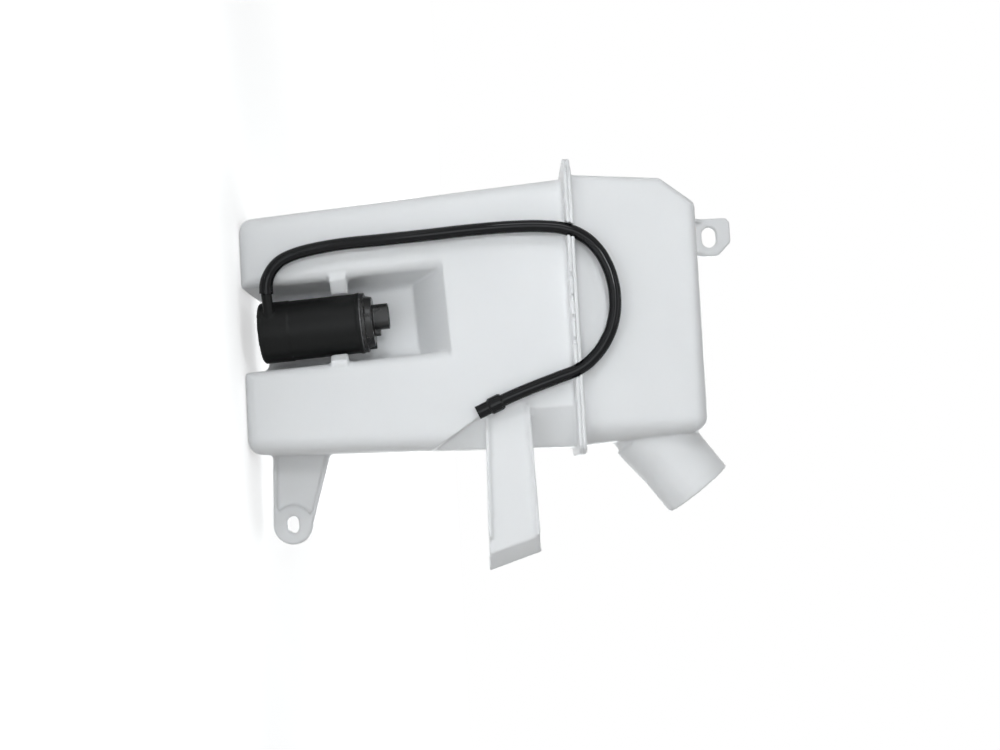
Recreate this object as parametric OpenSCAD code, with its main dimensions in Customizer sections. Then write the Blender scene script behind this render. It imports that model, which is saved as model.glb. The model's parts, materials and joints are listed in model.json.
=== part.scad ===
// Washer fluid reservoir: two welded tank halves, a clip-in motor pump and its delivery hose.
// It stands on its two feet, neck up. The front, with the pump pocket, faces -Y.

/* [Tank body] */
// Wall thickness of both tank mouldings
wall = 2.5; // [2:0.1:3.5]
// Height of the weld plane above the feet
weld_z = 231; // [215:1:245]
// Front face, from the mid-depth plane of the tank
front_y = -42; // [-50:0.5:-40]
// Back face at the weld plane
rim_back_y = 42; // [40:0.5:55]
// Back face at the base
base_back_y = 34; // [30:0.5:45]
// Left wall at the base
base_left_x = -84.5; // [-92:0.5:-78]
// Right wall at the base
base_right_x = 81.5; // [74:0.5:86]
// Left wall at the weld plane
rim_left_x = -100.5; // [-102:0.5:-94]
// Right wall at the weld plane
rim_right_x = 88; // [86:0.5:94]
// Radius of the upright edges
edge_r = 12; // [8:0.5:14]
// Radius round the feet
base_r = 9; // [5:0.5:10]

/* [Upper half] */
// Height of the top face
body_h = 320; // [310:1:335]
// Left wall of the upper half at the weld plane
upper_left_x = -102; // [-104:0.5:-98]
// Left wall where the top chamfer starts
chamfer_x = -97; // [-100:0.5:-92]
// Height where the top chamfer starts
chamfer_z = 296; // [285:0.5:300]
// Where the chamfer meets the top face
chamfer_top_x = -77; // [-84:0.5:-70]
// Right wall at the top
upper_right_x = 82; // [78:0.5:86]
// Depth lost to draft at the top, each side
top_draft = 3; // [1:0.5:5]
// Radius of the left and top edges
upper_edge_r = 6; // [4:0.5:9]
// Radius of the top right corner
top_corner_r = 10; // [6:0.5:14]
// Radius of the upright edges on the neck side
neck_side_r = 18; // [10:0.5:20]

/* [Weld flange] */
// Thickness of one ply
ply = 2.8; // [2:0.1:4]
// Overhang at the sides and the back
flange_side = 6; // [4:0.5:8]
// Overhang at the front
flange_front = 12.5; // [11:0.5:16]
// Corner radius
flange_r = 9; // [5:0.5:12]
// Outer end of the lug on the left side
lug_x = -113; // [-118:0.5:-110]
// Width of the lug
lug_w = 62; // [40:1:70]
// Middle of the lug, front to back
lug_y = -12; // [-20:1:0]
// First hose notch
notch_left_x = -60.9; // [-68:0.1:-56]
// Second hose notch
notch_right_x = 35.7; // [28:0.1:40]
// Slack of a notch round the hose
notch_slack = 0.5; // [0.3:0.1:1]
// Gaps in the front edge of the lower ply
gap_count = 4; // [2:1:6]
// Width of one gap
gap_w = 4; // [2:0.5:6]
// Depth of one gap
gap_d = 3.5; // [3:0.5:8]
// Pitch of the gaps
gap_pitch = 15; // [10:0.5:17]

/* [Pump pocket] */
// Middle of the pocket at the base, across
pocket_x = -4.9; // [-8:0.1:0]
// Half width of the pocket at the face, beyond the pump
mouth_gap = 8; // [6:0.5:10]
// Half width of the pocket at its floor, beyond the pump
floor_gap = 5.5; // [4:0.5:6]
// Space between the pump and the pocket floor
behind_gap = 7; // [5:0.5:9]
// Radius of the pocket's lips
lip_r = 8; // [6:0.5:9]
// Radius of the pocket's inner corners
pocket_r = 6; // [4:0.5:8]
// Height of the pocket at the face
pocket_top_z = 143.5; // [130:0.5:155]
// Height of the pocket at its floor
pocket_floor_z = 119; // [110:0.5:125]
// Height of the arch between the feet
arch_z = 11; // [8:0.5:12]
// Radius of the feet's edges beside the arch
arch_edge_r = 7; // [4:0.5:8]
// Height of the snap fingers
finger_z = 65.2; // [55:0.2:68]
// Rise of the left finger above the right one
finger_skew = 4.4; // [0:0.2:6]
// Width of a snap finger
finger_w = 12; // [8:0.5:14]
// Space between finger tip and pump
finger_gap = 0.4; // [0.2:0.1:0.6]

/* [Strap and corner bevel] */
// Width of the corner bevel on the front face
bevel_x = 28; // [20:0.5:30]
// Depth of the corner bevel on the side
bevel_y = 20; // [14:0.5:22]
// Height of the bevel's ridge on the strap's centre side
ridge_z = 157; // [150:0.5:160]
// Slope of the bevel's ridge
ridge_slope = 58; // [45:1:65]
// Height of the strap's centre line
strap_z = 181; // [178:0.5:190]
// Root of the strap on the front face
strap_root_x = 57; // [50:0.5:58]
// Bend of the strap's foot
strap_bend_x = 152.8; // [140:0.2:165]
// Width of the strap at the root
strap_w_root = 31; // [26:0.5:34]
// Width of the strap at the foot
strap_w_foot = 36; // [30:0.5:40]
// Slant of the strap's end
strap_slant = 17; // [0:1:25]
// Length of the bent foot
foot_len = 16; // [10:0.5:20]
// Angle of the bent foot
foot_bend = 42; // [20:1:60]
// Height of the strap's side ribs
strap_rib = 2.6; // [1.5:0.1:3]
// Thickness of moulded ribs
rib_t = 2.8; // [2:0.1:3.5]

/* [Bolt leg] */
// Slot centre, out to the right
leg_x = 132.5; // [115:0.5:135]
// Slot centre height
leg_z = 20.6; // [16:0.1:24]
// Radius of the boss
leg_r = 14.5; // [12:0.1:15]
// Seat of the boss against the vehicle
leg_seat_y = 31; // [26:0.5:31]
// Height of the boss and side ribs
leg_h = 12; // [8:0.5:16]
// Thickness of the leg's web
leg_web = 6.5; // [2.5:0.1:8]
// Root of the leg, low end
leg_root_low = 8.5; // [4:0.5:10]
// Root of the leg, high end
leg_root_high = 54; // [40:1:60]
// Slot width
leg_slot_w = 8.2; // [6.5:0.1:9]
// Slot length
leg_slot_l = 12.7; // [10:0.1:14]

/* [Bolt tab] */
// Slot centre across
tab_x = -62; // [-70:0.5:-50]
// Slot centre height above the top face
tab_rise = 17.6; // [14:0.1:20]
// Width of the tab
tab_w = 28; // [24:0.5:32]
// Material beyond the slot centre
tab_end = 15.9; // [12:0.1:18]
// Seat of the tab against the vehicle
tab_seat_y = 30; // [20:0.5:31]
// Thickness of the tab
tab_t = 5; // [4:0.1:6]
// Corner chamfer of the tab
tab_cut = 6; // [3:0.5:8]
// Slot width
tab_slot_w = 10.6; // [8:0.1:11]
// Slot length
tab_slot_l = 15; // [12:0.1:16]

/* [Filler neck] */
// Outside radius of the neck
neck_r = 26; // [22:0.25:28]
// Wall of the neck
neck_wall = 2.5; // [2:0.1:3.5]
// Middle of the mouth, across
neck_x = 122.7; // [115:0.5:130]
// Middle of the mouth, height
neck_z = 314; // [305:0.5:320]
// Rise of the neck above level
neck_rise = 36; // [30:1:42]
// Extra radius at the root
neck_flare = 2.5; // [1:0.25:3]
// Straight length behind the mouth
neck_straight = 26; // [18:0.5:28]

/* [Pump] */
// Pump axis at the base, across
pump_x = -2.9; // [-5:0.1:-1]
// Pump axis behind the front face
pump_set = 17; // [15:0.25:20]
// Lean of the pump to the left
pump_lean = 3; // [0:0.5:4]
// Outside radius of the pump housing
pump_r = 21; // [20:0.25:22]
// Height of the pump's low end
pump_low_z = 11.5; // [8:0.5:12]
// Wall of the pump housing
pump_wall = 2.4; // [2:0.1:2.6]
// Height of the impeller chamber
chamber_h = 9; // [8:0.5:10]
// Height of the suction space
suction_h = 7.6; // [7.6:0.1:9]
// Length of the motor can
can_h = 32; // [32:0.5:36]
// Turn of the nozzle towards the front
nozzle_turn = 14; // [8:1:20]
// Nozzle in front of the pump's axis
nozzle_set = 14; // [11:0.5:15]
// Radius of the shaft
shaft_r = 1.5; // [1.25:0.05:2]
// Running clearance of shaft and bearings
run_fit = 0.03; // [0.02:0.01:0.06]
// Assembly clearance of fitted pieces
slip_fit = 0.06; // [0.03:0.01:0.1]

/* [Hose] */
// Outside radius of the hose
hose_r = 4.3; // [3.5:0.1:4.6]
// Hose centre in front of the tank's face
hose_off = 7; // [6.5:0.1:8]
// Outside radius of the end joint
joint_r = 5.8; // [5.5:0.1:7]
// Length of the end joint
joint_l = 19; // [12:0.5:20]
// Bore radius of the end joint
joint_bore = 2.25; // [1.75:0.05:2.75]
// Depth of the hose inside the joint
joint_grip = 7; // [5:0.5:8]

/* [Hidden] */

natural = [0.86, 0.87, 0.86];
black = [0.11, 0.11, 0.12];
rubber = [0.07, 0.07, 0.07];
steel = [0.62, 0.63, 0.65];
copper = [0.72, 0.42, 0.25];
bronze = [0.70, 0.55, 0.32];
ferrite = [0.25, 0.25, 0.27];

form_fn = 32;
round_fn = 64;
edge_rise = 1;
far = 400;

pump_y = front_y + pump_set;
mouth_half = pump_r + mouth_gap;
floor_half = pump_r + floor_gap;
face_y = front_y - pump_y;
floor_y = pump_r + behind_gap;

// Pump stack, upwards along the pump axis
cover_t = 3;
plate_t = 1.5;
bulkhead_t = 3;
bearing_h = 5;
card_t = 2;
rim_room = 15;
seal_t = 0.8;
cap_rim_t = 2.4;
cap_dome_h = 5;
socket_h = 10.8;
z_chamber = pump_low_z + cover_t;
z_plate = z_chamber + chamber_h;
z_suction = z_plate + plate_t;
z_bulkhead = z_suction + suction_h;
z_motor = z_bulkhead + bulkhead_t;
z_card = z_motor + can_h;
z_rim = z_card + rim_room;
z_cap = z_rim + seal_t;
z_dome = z_cap + cap_rim_t;
z_face = z_dome + cap_dome_h;
nozzle_rise = 0.65;
z_nozzle = z_chamber + nozzle_rise * chamber_h;
z_inlet = z_suction + suction_h / 2;

// Pump radii, inwards from the housing
bore_r = pump_r - pump_wall;
cover_r = bore_r + 0.9;
chamber_r = bore_r - 0.6;
suction_r = chamber_r - 1.5;
can_r = bore_r - slip_fit;
can_wall = 1.3;
magnet_r = can_r - can_wall - slip_fit;
magnet_t = 3.5;
air_gap = 0.6;
core_r = magnet_r - magnet_t - air_gap;
seal_r = 5;
bearing_r = 4;
boss_r = 7;

// Armature, upwards inside the can
core_lift = 10;
core_z = z_motor + core_lift;
core_h = 18;
end_turn = 3.6;
slot_n = 5;
slot_r = core_r * 0.24;
slot_at = core_r * 0.64;
slot_mouth = 1.6;
commutator_r = 4.5;
commutator_z = z_card + 1;
commutator_h = 7.5;
shaft_low = z_chamber + 1.2;
shaft_room = 3;
shaft_top = z_rim - shaft_room;
bearing_drop = 6;
bearing_top_z = z_rim - bearing_drop;

// Brushes and their guides on the card
brush_w = 3.5;
brush_h = 5;
brush_in = commutator_r + 0.05;
guide_in = commutator_r + 1.7;
guide_out = bore_r - 3.2;
brush_out = guide_out - 5.4;
guide_t = 1.2;
spring_turns = 4;
spring_wire = 0.3;
spring_r = 1.3;

// Inlet spigot, outlet nozzle and grommet
spigot_r = 5.5;
spigot_bore = 3.5;
spigot_past = 6;
spigot_end = floor_y + wall + spigot_past;
nozzle_r = 3.7;
nozzle_reach = 5;
nozzle_out = pump_r + nozzle_reach;
barb_r = 2.7;
barb_l = 7;
nozzle_bore = 1.6;
grommet_r = 8;
grommet_lip = 11;
grommet_lip_t = 2;

// Connector
socket_x = -3;
socket_w = 18;
socket_d = 14;
socket_wall = 1.6;
socket_r = 6;
blade_w = 2.8;
blade_t = 0.8;
blade_at = 4.2;
blade_rise = 7;
blade_low = bearing_top_z + bearing_h + 1.5;
vent_x = 7.6;
vent_r = 2.8;
vent_h = 4.2;
peg_x = 17;
peg_r = 2.2;
peg_h = 0.6;

// Hose route through the two notches, as seen from the front
hose_y = front_y - hose_off;
lie_y = hose_y - 2.2;
lean_c = cos(pump_lean);
lean_s = sin(pump_lean);
nozzle_c = cos(nozzle_turn);
nozzle_s = sin(nozzle_turn);
function leaned(p) =
    [pump_x + p[0] * lean_c - p[2] * lean_s, pump_y + p[1], p[0] * lean_s + p[2] * lean_c];
function out_at(r) = leaned([-r * nozzle_c, -nozzle_set - r * nozzle_s, z_nozzle]);
route = [out_at(nozzle_out - 6), out_at(nozzle_out), [-36.1, hose_y + 2.2, 19.7],
         [-42.5, hose_y + 1, 22.4], [-47.9, hose_y + 0.3, 26.8], [-51.9, hose_y, 32.5], [-54.8, hose_y, 40],
         [-56.9, hose_y, 48.7], [-58.5, hose_y, 58.6], [-60.1, hose_y, 73.5], [-61.4, hose_y, 100],
         [-63, hose_y, 132], [-64.8, hose_y, 164], [-65.4, hose_y, 196], [-64.4, hose_y, 214],
         [-61.7, hose_y, 228.5], [-56.2, hose_y, 239.6], [-47.8, hose_y, 248.2], [-37.6, hose_y, 254.1],
         [-25.2, hose_y, 257.9], [-11.2, hose_y, 259.1], [2.9, hose_y, 257.1], [15.8, hose_y, 251.7],
         [27, hose_y, 243], [35.2, hose_y, 231.8], [40.4, hose_y - 0.4, 217], [46.5, hose_y - 1.4, 198.5],
         [53.05, lie_y, 180.6], [55.025, lie_y, 176], [57, lie_y, 171.4], [58.975, lie_y, 166.8]];
route_steps = 2;
hose_sides = 12;

function spline(a, b, c, d, t) =
    0.5 * (2 * b + (c - a) * t + (2 * a - 5 * b + 4 * c - d) * t * t + (3 * b - a - 3 * c + d) * t * t * t);
hose_path = concat([for (i = [1 : len(route) - 3], k = [0 : route_steps - 1])
                       spline(route[i - 1], route[i], route[i + 1], route[i + 2], k / route_steps)],
                   [route[len(route) - 2]]);
joint_from = route[len(route) - 2];
joint_dir = (route[len(route) - 1] - route[len(route) - 3])
            / norm(route[len(route) - 1] - route[len(route) - 3]);
notch_left_turn = 21;
notch_right_turn = 28;

// Low corner of the strap's foot, the farthest point to the right
strap_spread = (strap_w_foot - strap_w_root) / 2 / (strap_bend_x - strap_root_x);
function strap_half(x) = strap_w_root / 2 + strap_spread * (x - strap_root_x);
foot_run = foot_len * cos(foot_bend);
foot_at = [strap_bend_x + foot_run * cos(strap_slant), foot_run * sin(strap_slant)];
foot_drop = (foot_at[1] + strap_half(foot_at[0])) / (cos(strap_slant) - strap_spread * sin(strap_slant));
strap_reach = foot_at[0] + foot_drop * sin(strap_slant);

// Box centre of the whole part, for the frame
frame_x = -(lug_x + strap_reach) / 2;
frame_y = -(front_y - flange_front + rim_back_y + flange_side) / 2;

module placed() {
    translate([frame_x, frame_y, 0]) children();
}

module pump_place() {
    placed() pump_frame() children();
}

module pump_frame() {
    translate([pump_x, pump_y, 0]) rotate([0, -pump_lean, 0]) children();
}

module pocket_frame() {
    translate([pocket_x, pump_y, 0]) rotate([0, -pump_lean, 0]) children();
}

function arc(c, r, a0, a1, n) =
    [for (i = [0 : n]) let (a = a0 + (a1 - a0) * i / n) c + r * [cos(a), sin(a)]];

// Outline drawn across and up, given depth from the front plane y0 back to y1
module upright(y0, y1) {
    translate([0, y1, 0]) rotate([90, 0, 0]) linear_extrude(y1 - y0) children();
}

module rounded(x0, y0, x1, y1, r) {
    translate([x0 + r, y0]) square([x1 - x0 - 2 * r, y1 - y0]);
    translate([x0, y0 + r]) square([x1 - x0, y1 - y0 - 2 * r]);
    for (x = [x0 + r, x1 - r], y = [y0 + r, y1 - r]) translate([x, y]) circle(r, $fn = round_fn);
}

module slot(w, l) {
    square([l - w, w], center = true);
    for (s = [-1, 1]) translate([s * (l - w) / 2, 0]) circle(w / 2, $fn = round_fn);
}

// Round bar swept along a path, its rings squared to the path and turned from a fixed side
module swept(path, r, sides, side_ref) {
    n = len(path);
    ring = [for (i = [0 : n - 1])
               let (t = path[min(i + 1, n - 1)] - path[max(i - 1, 0)],
                    u = cross(t, side_ref) / norm(cross(t, side_ref)),
                    v = cross(u, t) / norm(cross(u, t)))
               for (k = [0 : sides - 1]) path[i] + r * (cos(360 * k / sides) * u + sin(360 * k / sides) * v)];
    wall_faces = [for (i = [0 : n - 2], k = [0 : sides - 1])
                     let (a = i * sides + k, b = i * sides + (k + 1) % sides) [a, b, b + sides, a + sides]];
    low_face = [[for (k = [sides - 1 : -1 : 0]) k]];
    high_face = [[for (k = [0 : sides - 1]) (n - 1) * sides + k]];
    polyhedron(ring, concat(wall_faces, low_face, high_face));
}

// Tank halves

module foot(r, round_r) {
    rotate_extrude($fn = form_fn)
        polygon(concat([[0, 0]], arc([r - round_r, round_r], round_r, -90, 0, 7), [[0, round_r]]));
}

module ball(r) {
    rotate_extrude($fn = form_fn) polygon(arc([0, 0], r, -90, 90, 14));
}

module lower_form(inset, rise) {
    hull() {
        for (x = [base_left_x + edge_r, base_right_x - edge_r], y = [front_y + edge_r, base_back_y - edge_r])
            translate([x, y, inset]) foot(edge_r - inset, base_r - inset);
        for (x = [rim_left_x + edge_r, rim_right_x - edge_r], y = [front_y + edge_r, rim_back_y - edge_r])
            translate([x, y, weld_z - edge_rise])
                cylinder(r = edge_r - inset, h = edge_rise + rise, $fn = form_fn);
    }
}

module upper_form(inset, drop) {
    top_y = [front_y + top_draft, rim_back_y - top_draft];
    hull() {
        for (y = [front_y + upper_edge_r, rim_back_y - upper_edge_r])
            translate([upper_left_x + upper_edge_r, y, weld_z - drop])
                cylinder(r = upper_edge_r - inset, h = edge_rise + drop, $fn = form_fn);
        for (y = [front_y + neck_side_r, rim_back_y - neck_side_r])
            translate([rim_right_x - neck_side_r, y, weld_z - drop])
                cylinder(r = neck_side_r - inset, h = edge_rise + drop, $fn = form_fn);
        for (y = [top_y[0] + upper_edge_r, top_y[1] - upper_edge_r]) {
            translate([chamfer_x + upper_edge_r, y, chamfer_z - 2]) ball(upper_edge_r - inset);
            translate([chamfer_top_x + 2, y, body_h - upper_edge_r]) ball(upper_edge_r - inset);
        }
        for (y = [top_y[0] + top_corner_r, top_y[1] - top_corner_r])
            translate([upper_right_x - top_corner_r, y, body_h - top_corner_r]) ball(top_corner_r - inset);
    }
}

// Pump pocket with soft lips and a sloped end. Grown by the wall, it shapes the cavity behind it
module pocket(grow) {
    lip_over = 0.15;
    lip_at = [mouth_half + lip_r, face_y + lip_r - lip_over];
    corner_at = [floor_half - pocket_r, floor_y - pocket_r];
    half = concat([[lip_at[0], face_y - far]], arc(lip_at, lip_r - grow, -90, -180, 8),
                  arc(corner_at, pocket_r + grow, 0, 90, 6));
    other = [for (i = [len(half) - 1 : -1 : 0]) [-half[i][0], half[i][1]]];
    run = [face_y - floor_y, pocket_top_z - pocket_floor_z];
    up = grow * [run[1], -run[0]] / norm(run);
    start = [floor_y, pocket_floor_z] + up;
    pocket_frame() intersection() {
        translate([0, 0, -far / 2]) linear_extrude(far) polygon(concat(half, other));
        rotate([90, 0, 90]) translate([0, 0, -far / 2]) linear_extrude(far)
            polygon([start - run, start + 2 * run, [start[0] + 2 * run[0], -far / 2],
                     [start[0] - run[0], -far / 2]]);
    }
}

// Arch between the two feet, from front to back
module arch(grow) {
    upright(-far / 2, far / 2) {
        rounded(pocket_x - floor_half - grow, -far, pocket_x + floor_half + grow, arch_z + grow, pocket_r);
        for (m = [0, 1])
            translate([pocket_x, 0]) mirror([m, 0]) translate([floor_half, 0]) difference() {
                translate([-1, -1]) square(arch_edge_r + 1);
                translate([arch_edge_r, arch_edge_r]) circle(arch_edge_r - grow, $fn = round_fn);
            }
    }
}

// Bevel of the front right corner behind the strap, from its sloped ridge up to the flange
module bevel(grow) {
    across = [bevel_x, bevel_y] / norm([bevel_x, bevel_y]);
    in = grow * [-across[1], across[0]];
    corner = [rim_right_x - bevel_x, front_y] + in;
    down = [cos(ridge_slope), -sin(ridge_slope)];
    ridge_in = 7;
    ridge = [rim_right_x - bevel_x + ridge_in, ridge_z] - grow * [sin(ridge_slope), cos(ridge_slope)];
    top = grow > 0 ? weld_z + wall : weld_z - ply;
    reach = far / 4;
    intersection() {
        linear_extrude(top)
            polygon([corner - reach * across, corner + reach * across,
                     corner + reach * [across[0], -across[1]]]);
        upright(front_y - far / 2, rim_back_y)
            polygon([ridge - reach * down, ridge + reach * down, ridge + reach * down + [0, far],
                     ridge - reach * down + [0, far]]);
    }
}

module lower_cavity() {
    difference() {
        lower_form(wall, wall);
        pocket(wall);
        arch(wall);
        bevel(wall);
    }
}

module flange_outline() {
    rounded(rim_left_x - flange_side, front_y - flange_front, rim_right_x + flange_side,
            rim_back_y + flange_side, flange_r);
    rounded(lug_x, lug_y - lug_w / 2, rim_left_x + flange_r, lug_y + lug_w / 2, flange_r / 2);
}

// Two notches that hold the hose, each with a mouth narrower than the hose
module hose_notches() {
    for (n = [[notch_left_x, notch_left_turn], [notch_right_x, -notch_right_turn]])
        translate([n[0], hose_y, weld_z]) rotate([0, n[1], 0]) {
            cylinder(r = hose_r + notch_slack, h = 8 * ply, center = true, $fn = round_fn);
            translate([-hose_r + 0.4, -far / 10, -4 * ply]) cube([2 * hose_r - 0.8, far / 10, 8 * ply]);
        }
}

module ply_gaps() {
    shift = 1.6;
    middle = pocket_x - shift;
    for (i = [0 : gap_count - 1])
        translate([middle + (i - (gap_count - 1) / 2) * gap_pitch - gap_w / 2, front_y - flange_front - 1,
                   weld_z - 2 * ply])
            cube([gap_w, gap_d + 1, 2 * ply]);
}

module fingers() {
    back = -4.4;
    tip_l = 5;
    tip = sqrt(pump_r * pump_r - back * back) + finger_gap;
    shift = pump_x - pocket_x;
    for (s = [-1, 1])
        pocket_frame() translate([0, 0, finger_z - finger_w / 2 + (s < 0 ? finger_skew : 0)])
            linear_extrude(finger_w)
                polygon([[s * (mouth_half + wall), face_y], [s * (mouth_half - 1), face_y],
                         [s * tip + shift, back - tip_l], [s * tip + shift, back],
                         [s * (mouth_half + wall - 1), back]]);
}

// Locating strap off the bevelled corner, with two side ribs and a bent foot
module strap() {
    past = strap_bend_x + 2 * foot_len;
    reach = strap_bend_x - strap_root_x + strap_w_foot;
    rib_end = strap_bend_x - strap_w_foot / 2 * tan(strap_slant);
    tip = foot_len * [cos(foot_bend), sin(foot_bend)];
    back = wall * [-sin(foot_bend), cos(foot_bend)];
    root_half = strap_half(strap_root_x);
    end_half = strap_half(rib_end);
    intersection() {
        translate([strap_bend_x, front_y, strap_z]) rotate([0, -strap_slant, 0])
            linear_extrude(3 * strap_w_foot, center = true)
                polygon([[-reach, 0], [0, 0], tip, tip + back, [-wall * tan(foot_bend / 2), wall],
                         [-reach, wall]]);
        upright(front_y - 1, front_y + 2 * foot_len)
            polygon([[strap_root_x, strap_z - root_half], [past, strap_z - strap_half(past)],
                     [past, strap_z + strap_half(past)], [strap_root_x, strap_z + root_half]]);
    }
    for (s = [-1, 1])
        upright(front_y - strap_rib, front_y + wall / 2)
            polygon([[strap_root_x, strap_z + s * root_half], [rib_end, strap_z + s * end_half],
                     [rib_end, strap_z + s * (end_half - rib_t)],
                     [strap_root_x, strap_z + s * (root_half - rib_t)]]);
}

module leg_outline() {
    root_x = base_right_x - edge_r;
    polygon([[root_x, leg_root_low], [leg_x, leg_z - leg_r], [leg_x, leg_z + leg_r],
             [root_x, leg_root_high]]);
    translate([leg_x, leg_z]) circle(leg_r, $fn = round_fn);
}

// Channel leg: web at the seat, two side ribs and a full-height boss round the slot
module leg() {
    root_x = base_right_x - edge_r;
    inner_low = leg_root_low + rib_t;
    inner_high = leg_root_high - rib_t * 1.3;
    front = leg_seat_y - leg_h;
    difference() {
        upright(front, leg_seat_y) leg_outline();
        difference() {
            upright(front - 1, leg_seat_y - leg_web)
                polygon([[root_x, inner_low], [leg_x, leg_z - leg_r + rib_t], [leg_x, leg_z + leg_r - rib_t],
                         [root_x, inner_high]]);
            upright(front - 2, leg_seat_y) translate([leg_x, leg_z]) circle(leg_r - 0.4, $fn = round_fn);
        }
        upright(front - 1, leg_seat_y + 1) translate([leg_x, leg_z]) slot(leg_slot_w, leg_slot_l);
    }
}

module tank_lower() {
    placed() color(natural) difference() {
        union() {
            difference() {
                lower_form(0, 0);
                pocket(0);
                arch(0);
                bevel(0);
            }
            translate([0, 0, weld_z - ply]) linear_extrude(ply) flange_outline();
            fingers();
            strap();
            leg();
        }
        lower_cavity();
        hose_notches();
        ply_gaps();
        pump_frame() translate([0, floor_y - 4, z_inlet]) rotate([-90, 0, 0])
            cylinder(r = grommet_r, h = wall + 6, $fn = round_fn);
    }
}

module neck_axis(back) {
    translate([neck_x, 0, neck_z]) rotate([0, 90 - neck_rise, 0]) translate([0, 0, -back]) children();
}

module tab() {
    z_slot = body_h + tab_rise;
    z_end = z_slot + tab_end;
    z_root = body_h - upper_edge_r;
    half = tab_w / 2;
    gusset_d = 12;
    gusset_h = upper_edge_r + tab_rise - 4;
    difference() {
        union() {
            upright(tab_seat_y - tab_t, tab_seat_y)
                polygon([[tab_x - half, z_root], [tab_x + half, z_root],
                         [tab_x + half, z_end - tab_cut * 1.6], [tab_x + half - tab_cut * 1.6, z_end],
                         [tab_x - half + tab_cut / 2, z_end], [tab_x - half, z_end - tab_cut / 2]]);
            for (x = [tab_x - half, tab_x + half - rib_t])
                translate([x, tab_seat_y - tab_t, z_root]) rotate([90, 0, 90]) linear_extrude(rib_t)
                    polygon([[-gusset_d, 0], [1, 0], [1, gusset_h], [0, gusset_h],
                             [-gusset_d, upper_edge_r]]);
        }
        upright(tab_seat_y - tab_t - 1, tab_seat_y + 1)
            translate([tab_x, z_slot]) slot(tab_slot_w, tab_slot_l);
    }
}

module tank_upper() {
    neck_back = 90;
    flare_l = 30;
    placed() color(natural) difference() {
        union() {
            upper_form(0, 0);
            translate([0, 0, weld_z]) linear_extrude(ply) flange_outline();
            neck_axis(neck_back) cylinder(r = neck_r, h = neck_back, $fn = round_fn);
            neck_axis(neck_straight + flare_l)
                cylinder(r1 = neck_r + neck_flare, r2 = neck_r, h = flare_l, $fn = round_fn);
            tab();
        }
        upper_form(wall, wall);
        hose_notches();
        neck_axis(neck_back) cylinder(r = neck_r - neck_wall, h = neck_back + 1, $fn = round_fn);
    }
}

module inlet_grommet() {
    groove = wall + 2 * slip_fit;
    pump_place() color(rubber) translate([0, floor_y - slip_fit - grommet_lip_t, z_inlet]) rotate([-90, 0, 0])
        difference() {
            union() {
                cylinder(r = grommet_lip, h = grommet_lip_t, $fn = round_fn);
                cylinder(r = grommet_r - slip_fit, h = grommet_lip_t + groove + 1, $fn = round_fn);
                translate([0, 0, grommet_lip_t + groove])
                    cylinder(r1 = grommet_lip - 1.5, r2 = grommet_r - 1, h = grommet_lip_t, $fn = round_fn);
            }
            translate([0, 0, -1]) cylinder(r = spigot_r + slip_fit, h = far, $fn = round_fn);
        }
}

// Pump

module up(z) {
    translate([0, 0, z]) children();
}

module disc(r, h) {
    cylinder(r = r, h = h, $fn = round_fn);
}

module along_nozzle() {
    translate([0, -nozzle_set, z_nozzle]) rotate([0, 0, 180 + nozzle_turn]) rotate([0, 90, 0]) children();
}

module pump_housing() {
    chamfer = 1.4;
    low_r = pump_r + 0.4;
    bead = 0.5;
    bead_h = 2.2;
    pump_place() color(black) difference() {
        union() {
            up(pump_low_z) cylinder(r1 = low_r - chamfer, r2 = low_r, h = chamfer, $fn = round_fn);
            up(pump_low_z + chamfer) disc(low_r, z_bulkhead - pump_low_z - chamfer);
            up(z_bulkhead) disc(pump_r, z_rim - z_bulkhead);
            up(z_rim - bead_h) disc(pump_r + bead, bead_h);
            along_nozzle() disc(nozzle_r, nozzle_out);
            along_nozzle() disc(barb_r, nozzle_out + barb_l);
            up(z_inlet) rotate([-90, 0, 0]) disc(spigot_r, spigot_end);
        }
        up(pump_low_z - 1) disc(cover_r, cover_t + 1);
        up(z_chamber - 1) disc(chamber_r, chamber_h + plate_t + 1);
        up(z_suction - 1) disc(suction_r, suction_h + 1);
        up(z_bulkhead - 1) disc(seal_r, bulkhead_t);
        up(z_bulkhead - 1) disc(bearing_r, bulkhead_t + bearing_h + 2);
        difference() {
            up(z_motor) disc(bore_r, far);
            up(z_motor - 1) disc(boss_r, bearing_h + 1);
        }
        along_nozzle() disc(nozzle_bore, far);
        up(z_inlet) rotate([-90, 0, 0]) disc(spigot_bore, far);
    }
}

module chamber_cover() {
    dome = 1;
    r = cover_r - slip_fit;
    pump_place() color(black) {
        up(pump_low_z + dome) disc(r, cover_t - dome);
        up(pump_low_z) cylinder(r1 = r - 4 * dome, r2 = r, h = dome, $fn = round_fn);
    }
}

module suction_plate() {
    eye_r = 6;
    pump_place() color(black) difference() {
        up(z_plate) disc(chamber_r - slip_fit, plate_t);
        up(z_plate - 1) disc(eye_r, plate_t + 2);
    }
}

module impeller() {
    vanes = 6;
    disc_r = chamber_r - 3;
    disc_t = 1.3;
    vane_t = 1.2;
    hub_r = 3.4;
    hub_h = 6;
    low = z_chamber + 1;
    pump_place() color(natural) difference() {
        up(low) {
            disc(disc_r, disc_t);
            disc(hub_r, hub_h);
            for (i = [0 : vanes - 1])
                rotate([0, 0, i * 360 / vanes]) translate([2, 1.2, 0]) rotate([0, 0, 16])
                    cube([disc_r - 5.2, vane_t, hub_h]);
        }
        up(shaft_low) disc(shaft_r + run_fit / 2, chamber_h);
    }
}

module shaft_seal() {
    pump_place() color(rubber) difference() {
        up(z_bulkhead) disc(seal_r - slip_fit, bulkhead_t - 1);
        up(z_bulkhead - 1) disc(shaft_r + run_fit, bulkhead_t + 2);
    }
}

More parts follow.
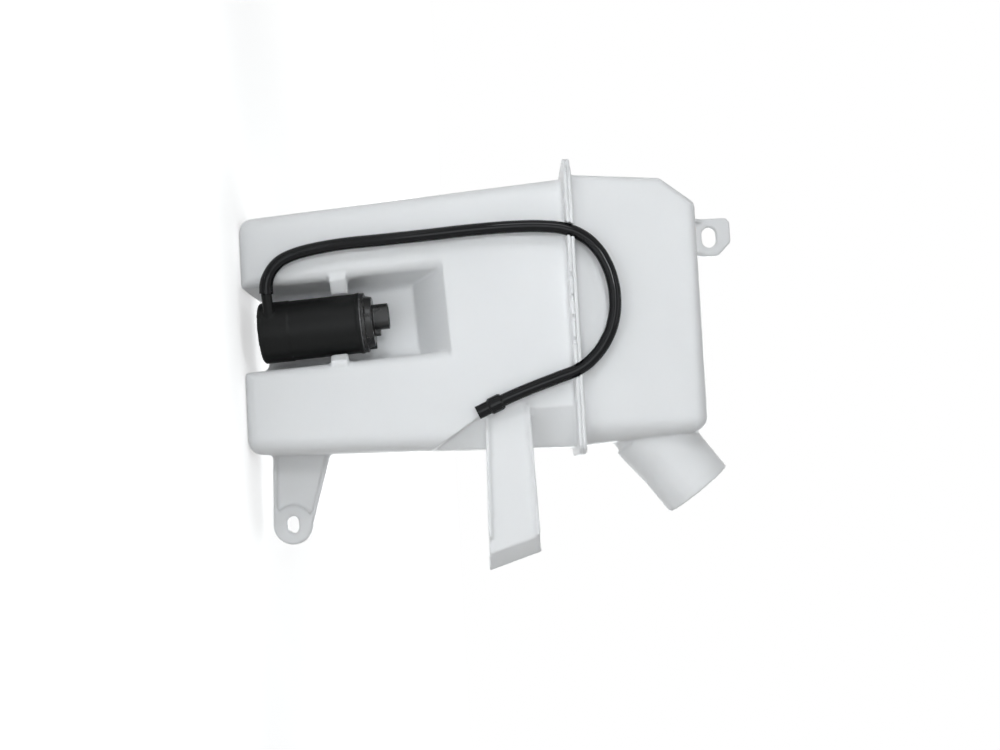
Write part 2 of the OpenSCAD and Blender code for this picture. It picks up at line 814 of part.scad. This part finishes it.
module lower_bearing() {
    pump_place() color(bronze) difference() {
        up(z_motor - 1) disc(bearing_r - slip_fit / 2, bearing_h + 1);
        up(z_motor - 2) disc(shaft_r + run_fit, bearing_h + 4);
    }
}

module motor_can() {
    pump_place() color(steel) difference() {
        up(z_motor) disc(can_r, can_h);
        up(z_motor - 1) disc(can_r - can_wall, can_h + 2);
    }
}

module magnet(turn) {
    arc_half = 65;
    over = 2;
    reach = 2 * magnet_r;
    pump_place() color(ferrite) intersection() {
        difference() {
            up(core_z - over) disc(magnet_r, core_h + 2 * over);
            up(core_z - 2 * over) disc(magnet_r - magnet_t, core_h + 4 * over);
        }
        up(core_z - 2 * over) linear_extrude(core_h + 4 * over)
            polygon(concat([[0, 0]], arc([0, 0], reach, turn - arc_half, turn + arc_half, 2)));
    }
}

module magnet_front() {
    magnet(-90);
}

module magnet_rear() {
    magnet(90);
}

module slots(r) {
    for (i = [0 : slot_n - 1])
        rotate([0, 0, 90 + i * 360 / slot_n]) translate([slot_at, 0]) circle(r, $fn = round_fn);
}

module armature_core() {
    pump_place() color(steel) up(core_z) linear_extrude(core_h) difference() {
        circle(core_r, $fn = round_fn);
        circle(shaft_r + run_fit / 2, $fn = round_fn);
        slots(slot_r);
        for (i = [0 : slot_n - 1]) rotate([0, 0, 90 + i * 360 / slot_n])
            translate([slot_at, -slot_mouth / 2]) square([core_r, slot_mouth]);
    }
}

module armature_windings() {
    fill = slot_r - slip_fit;
    turn_half = 0.8 * fill;
    pump_place() color(copper) {
        up(core_z - end_turn) linear_extrude(core_h + 2 * end_turn) slots(fill);
        for (z = [core_z - end_turn, core_z + core_h + slip_fit])
            up(z) linear_extrude(end_turn - slip_fit) difference() {
                circle(slot_at + turn_half, $fn = round_fn);
                circle(slot_at - turn_half, $fn = round_fn);
            }
    }
}

module commutator() {
    cut_w = 0.5;
    cut_d = 0.8;
    pump_place() color(copper) up(commutator_z) linear_extrude(commutator_h) difference() {
        circle(commutator_r, $fn = round_fn);
        circle(shaft_r + run_fit / 2, $fn = round_fn);
        for (i = [0 : slot_n - 1]) rotate([0, 0, 90 + i * 360 / slot_n])
            translate([commutator_r - cut_d, -cut_w / 2]) square([cut_d + 1, cut_w]);
    }
}

module motor_shaft() {
    pump_place() color(steel) up(shaft_low) disc(shaft_r, shaft_top - shaft_low);
}

module brush_card() {
    hole_r = commutator_r + 1;
    side = brush_w / 2 + slip_fit;
    pump_place() color([0.45, 0.30, 0.18]) {
        up(z_card) linear_extrude(card_t) difference() {
            circle(bore_r - slip_fit, $fn = round_fn);
            circle(hole_r, $fn = round_fn);
        }
        for (s = [-1, 1], side_y = [-side - guide_t, side])
            translate([s > 0 ? guide_in : -guide_out, side_y, z_card + card_t])
                cube([guide_out - guide_in, guide_t, brush_h]);
        for (x = [-guide_out, guide_out - guide_t])
            translate([x, -side - guide_t, z_card + card_t]) cube([guide_t, 2 * (side + guide_t), brush_h]);
    }
}

module brush(s) {
    pump_place() color(ferrite)
        translate([s > 0 ? brush_in : -brush_out, -brush_w / 2, z_card + card_t])
            cube([brush_out - brush_in, brush_w, brush_h]);
}

module brush_left() {
    brush(-1);
}

module brush_right() {
    brush(1);
}

module brush_spring(turn) {
    from = brush_out + spring_wire;
    run = guide_out - guide_t - spring_wire - from;
    steps = spring_turns * 10;
    coil = [for (i = [0 : steps]) [from + run * i / steps, spring_r * cos(36 * i), spring_r * sin(36 * i)]];
    pump_place() color(steel) up(z_card + card_t + brush_h / 2) rotate([0, 0, turn])
        swept(coil, spring_wire, 8, [1, 0, 0]);
}

module brush_spring_left() {
    brush_spring(180);
}

module brush_spring_right() {
    brush_spring(0);
}

module upper_bearing() {
    pump_place() color(bronze) difference() {
        up(bearing_top_z) disc(bearing_r - slip_fit / 2, bearing_h);
        up(bearing_top_z - 1) disc(shaft_r + run_fit, bearing_h + 2);
    }
}

module cap_seal() {
    pump_place() color(rubber) up(z_rim) linear_extrude(seal_t) difference() {
        circle(pump_r, $fn = round_fn);
        circle(bore_r, $fn = round_fn);
    }
}

module socket_outline(inset) {
    rounded(socket_x - socket_w / 2 + inset, -socket_d / 2 + inset, socket_x + socket_w / 2 - inset,
            socket_d / 2 - inset, socket_r - inset);
}

module blades(grow) {
    for (x = [socket_x - blade_at, socket_x + blade_at])
        translate([x - blade_t / 2 - grow, -blade_w / 2 - grow, blade_low])
            cube([blade_t + 2 * grow, blade_w + 2 * grow, z_face + blade_rise - blade_low]);
}

module pump_cap() {
    skirt_h = 2.5;
    dome_r = pump_r - 2.2;
    dome_draft = 1.2;
    roof = 2.2;
    hub_wall = 2.2;
    low = z_rim - skirt_h;
    pump_place() color(black) difference() {
        union() {
            difference() {
                union() {
                    up(low) disc(bore_r - slip_fit, z_cap - low);
                    up(z_cap) disc(pump_r, cap_rim_t);
                    up(z_dome)
                        cylinder(r1 = dome_r, r2 = dome_r - dome_draft, h = cap_dome_h, $fn = round_fn);
                }
                up(low - 1) disc(dome_r - pump_wall, z_face - roof - low + 1);
            }
            up(bearing_top_z) disc(bearing_r + hub_wall, z_face - roof / 2 - bearing_top_z);
            up(z_face - roof / 2) linear_extrude(socket_h + roof / 2) socket_outline(0);
            for (b = [[vent_x, vent_r, vent_h], [peg_x, peg_r, peg_h]])
                up(z_dome) translate([b[0], 0, 0]) disc(b[1], cap_dome_h + b[2]);
        }
        up(bearing_top_z - 1) disc(bearing_r, bearing_h + 1);
        up(z_face) linear_extrude(socket_h + 1) socket_outline(socket_wall);
        blades(slip_fit);
    }
}

module terminal_blades() {
    pump_place() color(bronze) blades(0);
}

// Hose

module hose() {
    placed() color(rubber) swept(hose_path, hose_r, hose_sides, [0, 1, 0]);
}

module hose_joint() {
    yaw = atan2(joint_dir[1], joint_dir[0]);
    pitch = acos(joint_dir[2]);
    free_r = hose_r + 0.4;
    taper = 1.5;
    collar = joint_grip + 2;
    start = joint_from - joint_grip * joint_dir;
    placed() color(rubber) translate(start) rotate([0, pitch, yaw]) difference() {
        union() {
            cylinder(r1 = joint_r - taper / 2, r2 = joint_r, h = taper, $fn = round_fn);
            up(taper) disc(joint_r, collar - taper);
            up(collar) cylinder(r1 = joint_r, r2 = free_r, h = taper, $fn = round_fn);
            disc(free_r, joint_l);
        }
        up(-1) disc(hose_r + slip_fit, joint_grip + 1);
        disc(joint_bore, joint_l + 1);
    }
}

tank_lower();
tank_upper();
inlet_grommet();
pump_housing();
chamber_cover();
suction_plate();
impeller();
shaft_seal();
lower_bearing();
motor_can();
magnet_front();
magnet_rear();
armature_core();
armature_windings();
commutator();
motor_shaft();
brush_card();
brush_left();
brush_right();
brush_spring_left();
brush_spring_right();
upper_bearing();
cap_seal();
pump_cap();
terminal_blades();
hose();
hose_joint();
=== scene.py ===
import json
from math import pi

import bpy
from mathutils import Matrix, Vector

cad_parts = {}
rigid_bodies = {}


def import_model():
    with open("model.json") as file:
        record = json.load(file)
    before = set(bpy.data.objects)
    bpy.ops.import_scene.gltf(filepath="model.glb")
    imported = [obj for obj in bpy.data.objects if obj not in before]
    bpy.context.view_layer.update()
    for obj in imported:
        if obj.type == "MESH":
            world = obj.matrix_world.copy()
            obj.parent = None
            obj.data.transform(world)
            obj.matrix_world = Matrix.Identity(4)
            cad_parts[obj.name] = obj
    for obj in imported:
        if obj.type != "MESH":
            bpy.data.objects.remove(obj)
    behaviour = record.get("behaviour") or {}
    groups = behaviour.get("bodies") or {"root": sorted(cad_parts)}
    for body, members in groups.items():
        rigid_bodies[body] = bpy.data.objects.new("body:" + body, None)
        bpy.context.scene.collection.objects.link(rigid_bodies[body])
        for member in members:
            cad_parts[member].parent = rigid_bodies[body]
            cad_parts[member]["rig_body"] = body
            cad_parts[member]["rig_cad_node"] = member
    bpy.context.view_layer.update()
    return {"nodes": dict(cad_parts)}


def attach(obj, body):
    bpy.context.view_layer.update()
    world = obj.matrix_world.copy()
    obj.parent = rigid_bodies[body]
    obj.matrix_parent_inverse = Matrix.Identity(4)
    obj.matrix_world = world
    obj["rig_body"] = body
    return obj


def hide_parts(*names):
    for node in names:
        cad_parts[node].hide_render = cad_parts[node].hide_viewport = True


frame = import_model()
nodes = frame["nodes"]

# Camera
# The reservoir stands on its feet, and the photo shows it lying on its back. The camera is
# turned so that the reservoir's height runs to the right in the picture.

camera_data = bpy.data.cameras.new("camera")
camera_data.sensor_width = 36
camera_data.lens = 51.48
camera = bpy.data.objects.new("camera", camera_data)
bpy.context.scene.collection.objects.link(camera)
camera_right = Vector((0.056181, 0.003921, 0.998413))
camera_up = Vector((-0.996127, -0.06752, 0.056317))
camera_back = Vector((0.067634, -0.99771, 0.000113))
camera.matrix_world = Matrix((camera_right, camera_up, camera_back)).transposed().to_4x4()
camera.location = (0.0738, -1.0234, 0.17725)
bpy.context.scene.camera = camera

# Delivery hose and its end joint
# Extruded black rubber hose, pushed over the pump's barb, clipped into two notches of the weld
# flange and ended by a short moulded rubber joint.


class Wire:
    """A node socket that adds, multiplies and mixes like a number."""

    def __init__(self, tree, socket):
        self.tree = tree
        self.socket = socket

    def node(self, kind, inputs, out=0, **settings):
        made = self.tree.nodes.new(kind)
        for name, value in settings.items():
            setattr(made, name, value)
        for name, value in inputs.items():
            if isinstance(value, Wire):
                self.tree.links.new(value.socket, made.inputs[name])
            else:
                made.inputs[name].default_value = value
        return Wire(self.tree, made.outputs[out])

    def math(self, operation, first, second):
        return self.node("ShaderNodeMath", {0: first, 1: second}, operation=operation)

    def __add__(self, other):
        return self.math("ADD", self, other)

    def __mul__(self, other):
        return self.math("MULTIPLY", self, other)

    def ramp(self, low, high, to_low=0.0, to_high=1.0):
        inputs = {"From Min": low, "From Max": high, "To Min": to_low, "To Max": to_high}
        return self.node("ShaderNodeMapRange", {"Value": self, **inputs})

    def colour(self, first, second):
        inputs = {"Factor": self, "A": (*first, 1), "B": (*second, 1)}
        return self.node("ShaderNodeMix", inputs, out="Result", data_type="RGBA")

    def noise(self, scale, detail=3.0):
        return self.node("ShaderNodeTexNoise", {"Vector": self, "Scale": scale, "Detail": detail})

    def bump(self, distance, strength):
        inputs = {"Height": self, "Distance": distance, "Strength": strength}
        return self.node("ShaderNodeBump", inputs, out="Normal")


def material(name, constants, varying):
    """A Principled material with plain values and values that vary over object coordinates."""
    made = bpy.data.materials.new(name)
    made.use_nodes = True
    tree = made.node_tree
    shader = tree.nodes["Principled BSDF"]
    for socket, value in constants.items():
        shader.inputs[socket].default_value = value
    place = tree.nodes.new("ShaderNodeTexCoord")
    for socket, wire in varying(Wire(tree, place.outputs["Object"])).items():
        tree.links.new(wire.socket, shader.inputs[socket])
    return made


def paint(piece, made):
    piece.data.materials.clear()
    piece.data.materials.append(made)


def rubber_look(at):
    cloud = at.noise(38)
    return {
        "Base Color": cloud.colour((0.003, 0.0032, 0.004), (0.006, 0.0065, 0.0075)),
        "Roughness": cloud.ramp(0.3, 0.7, 0.05, 0.09),
        "Normal": at.noise(300, 2).bump(0.0002, 0.05),
    }


rubber = material("rubber", {"Specular IOR Level": 0.16}, rubber_look)

hose_diameter = 0.0086
barb_stretch = (1.14, 1.09)
hose_route = [
    (-0.05810, -0.04204, 0.01900), (-0.06504, -0.04355, 0.01970), (-0.07144, -0.04475, 0.02240),
    (-0.07684, -0.04545, 0.02680), (-0.08084, -0.04575, 0.03250), (-0.08374, -0.04575, 0.04000),
    (-0.08584, -0.04575, 0.04870), (-0.08744, -0.04575, 0.05860), (-0.08904, -0.04575, 0.07350),
    (-0.09034, -0.04575, 0.10000), (-0.09194, -0.04575, 0.13200), (-0.09374, -0.04575, 0.16400),
    (-0.09434, -0.04575, 0.19600), (-0.09334, -0.04575, 0.21400), (-0.09064, -0.04575, 0.22850),
    (-0.08514, -0.04575, 0.23960), (-0.07674, -0.04575, 0.24820), (-0.06654, -0.04575, 0.25410),
    (-0.05414, -0.04575, 0.25790), (-0.04014, -0.04575, 0.25910), (-0.02604, -0.04575, 0.25710),
    (-0.01314, -0.04575, 0.25170), (-0.00194, -0.04575, 0.24300), (0.00626, -0.04575, 0.23180),
    (0.01146, -0.04615, 0.21700), (0.01756, -0.04715, 0.19850), (0.02411, -0.04795, 0.18060),
    (0.02608, -0.04795, 0.17600), (0.02806, -0.04795, 0.17140),
]
bpy.ops.object.select_all(action="DESELECT")
bpy.ops.curve.primitive_bezier_curve_add(radius=0.01)
hose = bpy.context.object
hose.name = "hose_tube"
hose.data.name = "hose_tube"
hose_line = hose.data.splines[0]
hose_line.bezier_points.add(len(hose_route) - 2)
for point, where in zip(hose_line.bezier_points, hose_route):
    point.co = where
    point.handle_left_type = "AUTO"
    point.handle_right_type = "AUTO"
    point.radius = 1.0
for point, stretch in zip(hose_line.bezier_points, barb_stretch):
    point.radius = stretch
hose.data.dimensions = "3D"
hose.data.resolution_u = 8
hose.data.bevel_depth = hose_diameter / 2
hose.data.bevel_resolution = 6
hose.data.use_fill_caps = True
paint(hose, rubber)
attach(hose, "reservoir")
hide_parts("hose")
paint(nodes["hose_joint"], rubber)

# Lower tank half
# Deep injection moulding of natural polypropylene with the pump pocket, snap fingers, bolt leg,
# strap and the lower ply of the weld flange. All its edges are softened, as they leave the mould.


def softened(node, name, voxel, smooth, most):
    """A copy of a CAD node with its edges rounded, thinned to at most a number of triangles."""
    bpy.ops.object.select_all(action="DESELECT")
    nodes[node].select_set(True)
    bpy.context.view_layer.objects.active = nodes[node]
    bpy.ops.object.duplicate()
    piece = bpy.context.object
    piece.name = name
    piece.data.name = name
    bpy.ops.object.parent_clear(type="CLEAR_KEEP_TRANSFORM")
    bpy.ops.object.mode_set(mode="EDIT")
    bpy.ops.mesh.select_all(action="SELECT")
    bpy.ops.mesh.remove_doubles(threshold=1e-6)
    bpy.ops.object.mode_set(mode="OBJECT")
    bpy.ops.object.modifier_add(type="REMESH")
    piece.modifiers[-1].mode = "VOXEL"
    piece.modifiers[-1].voxel_size = voxel
    bpy.ops.object.modifier_apply(modifier=piece.modifiers[-1].name)
    bpy.ops.object.modifier_add(type="SMOOTH")
    piece.modifiers[-1].iterations = smooth
    bpy.ops.object.modifier_apply(modifier=piece.modifiers[-1].name)
    bpy.ops.object.modifier_add(type="DECIMATE")
    piece.modifiers[-1].ratio = min(1.0, most / (2 * len(piece.data.polygons)))
    bpy.ops.object.modifier_apply(modifier=piece.modifiers[-1].name)
    bpy.ops.object.shade_smooth()
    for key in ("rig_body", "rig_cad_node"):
        if key in piece:
            del piece[key]
    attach(piece, "reservoir")
    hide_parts(node)
    return piece


def natural_look(at):
    cloud = at.noise(14, 4)
    grain = at.noise(900, 2)
    flow = at.noise(26, 1)
    return {
        "Base Color": cloud.colour((0.848, 0.854, 0.86), (0.898, 0.903, 0.908)),
        "Roughness": grain.ramp(0.3, 0.7, 0.36, 0.46),
        "Normal": (flow * 0.9 + grain * 0.05).bump(0.0012, 0.22),
    }


natural = material(
    "natural_plastic",
    {
        "Subsurface Weight": 0.12,
        "Subsurface Scale": 0.004,
        "Subsurface Radius": (1.0, 0.95, 0.9),
        "Specular IOR Level": 0.4,
    },
    natural_look,
)
tank_lower = softened("tank_lower", "lower_half", voxel=0.0011, smooth=5, most=190000)
paint(tank_lower, natural)

# Upper tank half
# Shallower moulding of the same plastic, with the filler neck, the bolt tab and the upper ply of
# the flange, hot-plate welded to the lower half.

tank_upper = softened("tank_upper", "upper_half", voxel=0.0011, smooth=5, most=150000)
paint(tank_upper, natural)

# Pump housing and inlet grommet
# Black moulded cylinder with the nozzle and spigot. The spigot is pushed into a rubber grommet in
# the pocket's floor, and the housing is held by the two snap fingers.


def black_look(at):
    cloud = at.noise(60)
    grain = at.noise(1600, 2)
    return {
        "Base Color": cloud.colour((0.004, 0.0045, 0.0045), (0.008, 0.0085, 0.0085)),
        "Roughness": cloud.ramp(0.3, 0.7, 0.34, 0.46),
        "Normal": grain.bump(0.0002, 0.3),
    }


black = material("black_plastic", {"Specular IOR Level": 0.14}, black_look)
housing = softened("pump_housing", "pump_body", voxel=0.0005, smooth=3, most=160000)
paint(housing, black)
paint(nodes["inlet_grommet"], rubber)

# Impeller chamber
# Black moulded cover and suction plate, a pale moulded impeller on the motor's shaft and a rubber lip
# seal, all closed in at the housing's low end.


def plain_look(dark, light, smooth, rough):
    """Small mottling between two colours and two roughnesses."""

    def look(at):
        cloud = at.noise(220)
        return {
            "Base Color": cloud.colour(dark, light),
            "Roughness": cloud.ramp(0.3, 0.7, smooth, rough),
        }

    return look


pale = material("pale_plastic", {}, plain_look((0.52, 0.52, 0.47), (0.62, 0.62, 0.57), 0.4, 0.5))
for node in ("chamber_cover", "suction_plate"):
    paint(nodes[node], black)
paint(nodes["impeller"], pale)
paint(nodes["shaft_seal"], rubber)

# Motor
# Drawn steel can with two ferrite arcs, and the wound five-pole rotor on its ground shaft between
# two sintered bushes.

metal = {"Metallic": 1.0}
steel = material("steel", metal, plain_look((0.42, 0.43, 0.45), (0.56, 0.57, 0.59), 0.25, 0.4))
bronze = material("bronze", metal, plain_look((0.5, 0.33, 0.13), (0.62, 0.43, 0.2), 0.3, 0.45))
copper = material("copper", metal, plain_look((0.5, 0.2, 0.09), (0.64, 0.29, 0.14), 0.28, 0.42))
ferrite = material("ferrite", {}, plain_look((0.03, 0.03, 0.033), (0.055, 0.055, 0.06), 0.6, 0.75))
for node in ("motor_can", "armature_core", "motor_shaft"):
    paint(nodes[node], steel)
for node in ("lower_bearing", "upper_bearing"):
    paint(nodes[node], bronze)
for node in ("armature_windings", "commutator"):
    paint(nodes[node], copper)
for node in ("magnet_front", "magnet_rear"):
    paint(nodes[node], ferrite)

# Brush gear
# Punched laminate card with two guides across the motor's top, each with a carbon brush that a steel
# coil spring presses on the commutator.

card = material("card", {}, plain_look((0.14, 0.05, 0.02), (0.22, 0.09, 0.035), 0.55, 0.7))
paint(nodes["brush_card"], card)
for side in ("left", "right"):
    paint(nodes["brush_" + side], ferrite)
    paint(nodes["brush_spring_" + side], steel)

# Cap and connector
# Black moulded cap with the plug shroud, glossier than the housing, sealed by a flat rubber ring and
# carrying two brass blades. The ring's dark grey is a painted highlight, a light line along the cap's
# rim.


def cap_look(at):
    cloud = at.noise(80)
    return {
        "Base Color": cloud.colour((0.008, 0.008, 0.008), (0.014, 0.014, 0.014)),
        "Roughness": cloud.ramp(0.3, 0.7, 0.22, 0.34),
        "Normal": at.noise(700, 2).bump(0.0002, 0.2),
    }


glossy = material("cap_plastic", {"Specular IOR Level": 0.35}, cap_look)
cap = softened("pump_cap", "cap", voxel=0.0004, smooth=2, most=120000)
paint(cap, glossy)
# The seal's dark grey is a painted highlight: it stands in for the light caught along the cap's rim.
painted_seal_highlight = material("seal_rubber_painted_highlight", {}, plain_look((0.07, 0.07, 0.073), (0.11, 0.11, 0.114), 0.2, 0.3))
paint(nodes["cap_seal"], painted_seal_highlight)
paint(nodes["terminal_blades"], bronze)

# Floor and light
# Pale floor and white surroundings of a plain studio. Soft lamps stand at the side, in front, above
# and behind, a small one gives the hose its glint, and one lights the floor in front for its bounce.

bpy.ops.object.select_all(action="DESELECT")
bpy.ops.mesh.primitive_plane_add(size=8, location=(0, 0, -0.0004))
floor = bpy.context.object
floor.name = "floor"


def shown(tree):
    """1 for a ray that shows the surroundings, 0 for one that lights the object."""
    rays = tree.nodes.new("ShaderNodeLightPath")
    names = ("Is Camera Ray", "Is Glossy Ray", "Is Transmission Ray")
    camera_ray, glossy_ray, clear_ray = (Wire(tree, rays.outputs[name]) for name in names)
    return (camera_ray + glossy_ray + clear_ray).ramp(0, 1)


def floor_look(at):
    """White to the eye, with less glow near the part so that its shadow shows."""
    away = at.node("ShaderNodeVectorMath", {0: at}, out="Value", operation="LENGTH")
    glow = shown(at.tree) * away.ramp(0.3, 1.5, 0.5, 0.87)
    return {
        "Base Color": at.noise(3).colour((0.9, 0.9, 0.9), (0.92, 0.92, 0.92)),
        "Emission Color": glow.colour((0, 0, 0), (1, 1, 1)),
    }


floor_values = {"Roughness": 0.9, "Specular IOR Level": 0.1, "Emission Strength": 1.0}
floor.data.materials.append(material("floor", floor_values, floor_look))


def lamp(name, size, power, where, aim, colour, spread=pi):
    made = bpy.data.lights.new(name, "AREA")
    made.size = size
    made.energy = power
    made.color = colour
    made.spread = spread
    thing = bpy.data.objects.new(name, made)
    bpy.context.scene.collection.objects.link(thing)
    thing.location = where
    thing.rotation_euler = (Vector(aim) - Vector(where)).to_track_quat("-Z", "Y").to_euler()


middle = (0, 0, 0.17)
front_floor = (0, -0.5, 0)
cool = (0.936, 0.972, 1.0)
pale_cool = (0.95, 0.98, 1.0)
lamp("key", 0.5, 5.5, (-1.3, -1.35, 0.4), middle, cool)
lamp("glint", 0.14, 2.6, (-0.35, -1.7, 0.55), middle, cool)
lamp("front", 1.2, 12, (0.05, -2.2, 0.2), middle, cool)
lamp("top", 0.9, 4, (-0.2, -1.3, 1.9), middle, cool)
lamp("bounce", 0.5, 1.4, (0, -0.5, 1.0), front_floor, pale_cool, spread=0.6)
lamp("back", 1.6, 32, (0.5, 2.1, 1.0), middle, pale_cool)

world = bpy.data.worlds.new("world")
bpy.context.scene.world = world
world.use_nodes = True
sky = world.node_tree.nodes["Background"]
sky_seen = shown(world.node_tree)
for wire, socket in (
    (sky_seen.colour((1.0, 0.975, 0.93), (1, 1, 1)), "Color"),
    (sky_seen.ramp(0, 1, 0.14, 1.0), "Strength"),
):
    world.node_tree.links.new(wire.socket, sky.inputs[socket])
bpy.context.scene.view_settings.view_transform = "Standard"
